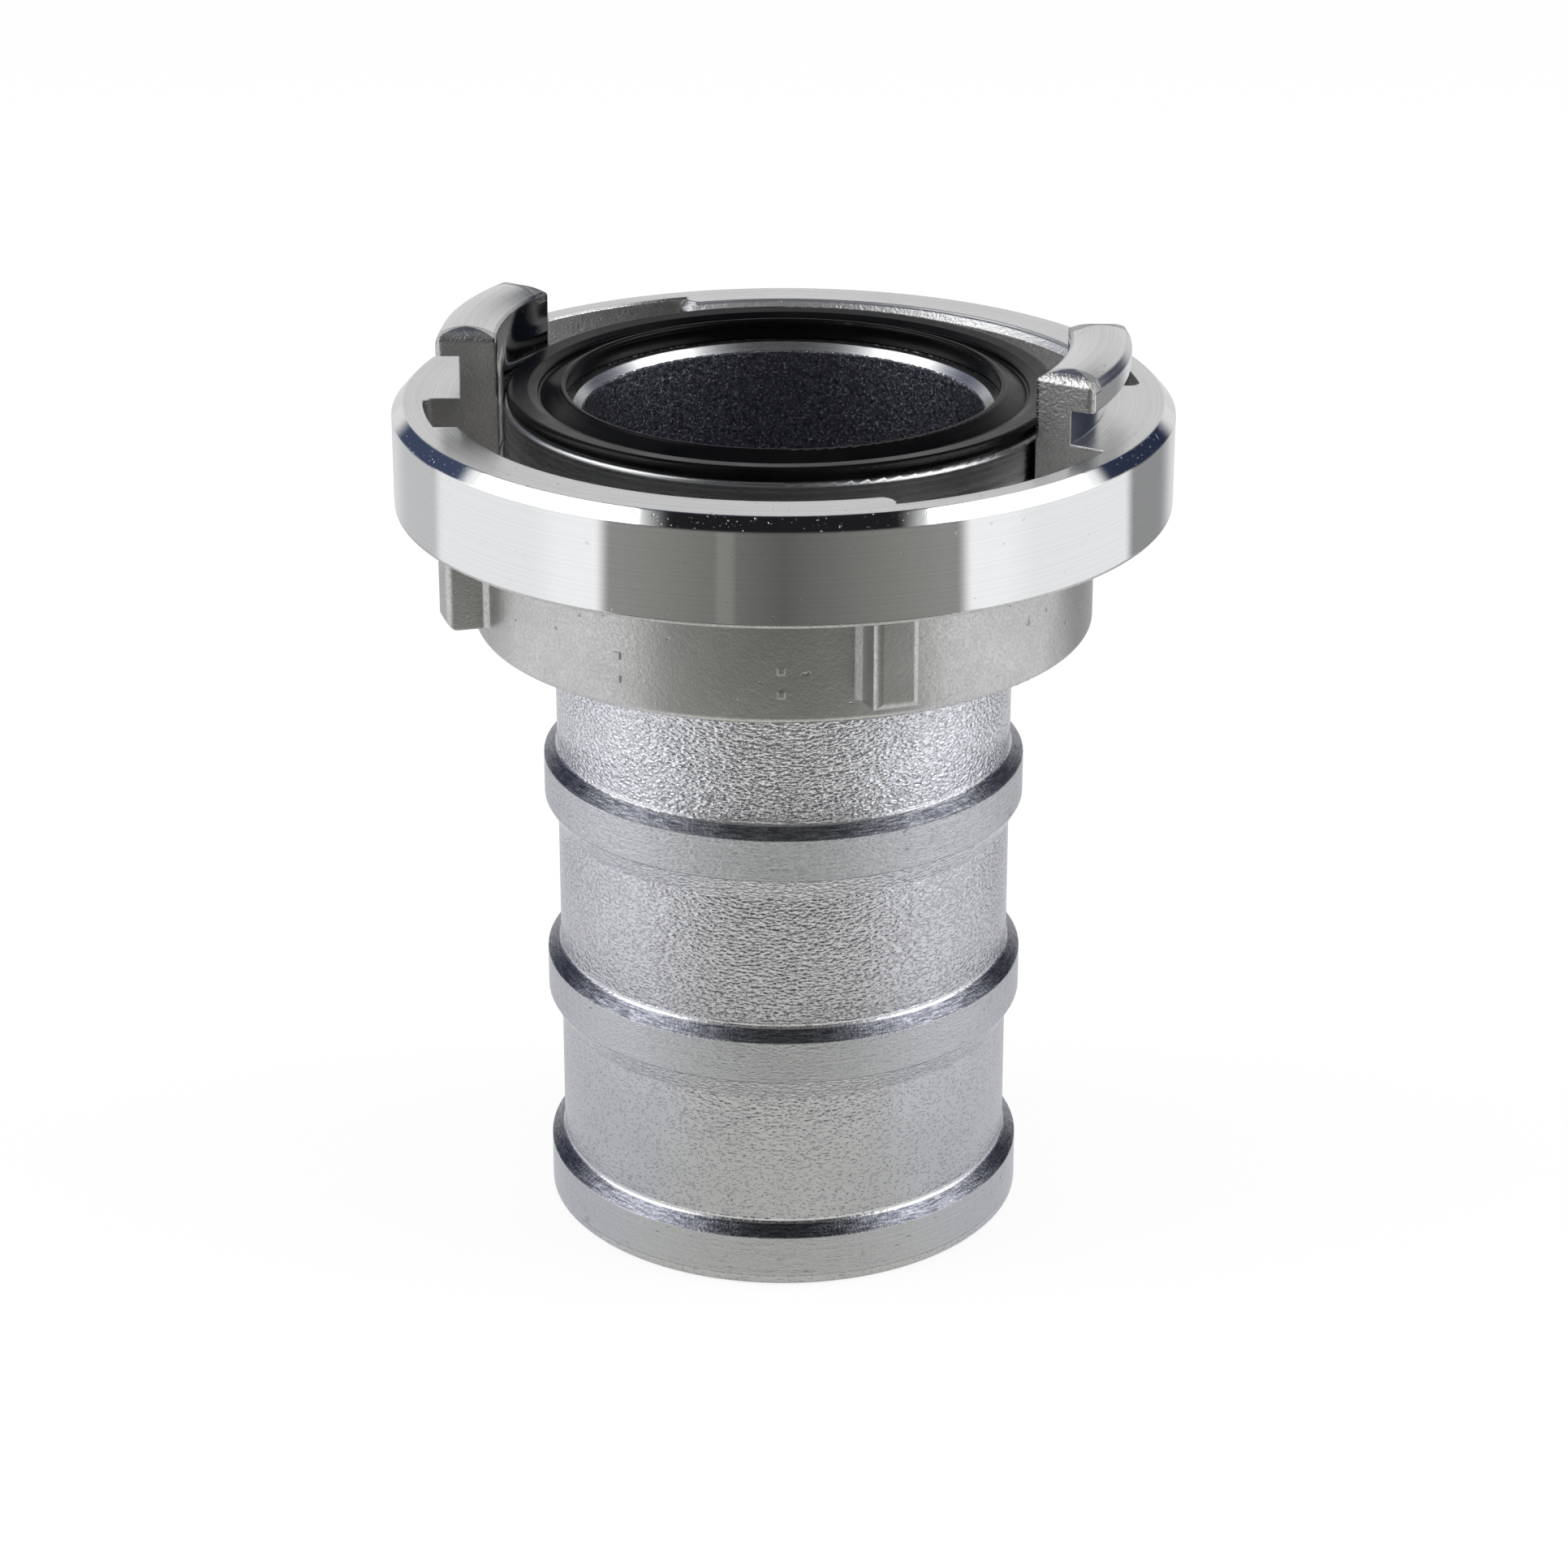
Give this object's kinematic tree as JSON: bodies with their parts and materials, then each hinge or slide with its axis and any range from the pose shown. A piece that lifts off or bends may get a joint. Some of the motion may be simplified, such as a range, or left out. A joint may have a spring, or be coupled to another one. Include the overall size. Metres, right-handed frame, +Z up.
{
  "type": "hose coupling",
  "caption": "Bayonet hose coupling: barbed hose tail, swivelling ring with hooked lugs and ramped ledges, and a rubber face seal.",
  "frame": {"origin": "on the swivel axis, in the end face of the hose tail that the coupling stands on", "axes": "+Z up along the swivel axis towards the coupling face, +X just behind the leading end of one hook lug, the pictured view looks along +Y"},
  "size_m": [0.126, 0.126, 0.1522],
  "materials": {
    "ring_alloy": "forged, turned bright on the rim, coupling face and lugs, blasted elsewhere",
    "tail_alloy": "cast with an orange-peel skin, turned at the flange",
    "seal_rubber": "satin black nitrile rubber",
    "spring_steel": "drawn stainless spring wire"
  },
  "bodies": {
    "tail": {"hose_tail": "tail_alloy", "face_seal": "seal_rubber", "retaining_ring": "spring_steel"},
    "ring": {"lug_ring": "ring_alloy"}
  },
  "joints": [
    {"name": "ring_swivel", "type": "hinge", "parent": "tail", "child": "ring", "pos_m": [0, 0, 0.125], "axis": [0, 0, 1], "continuous": true}
  ]
}
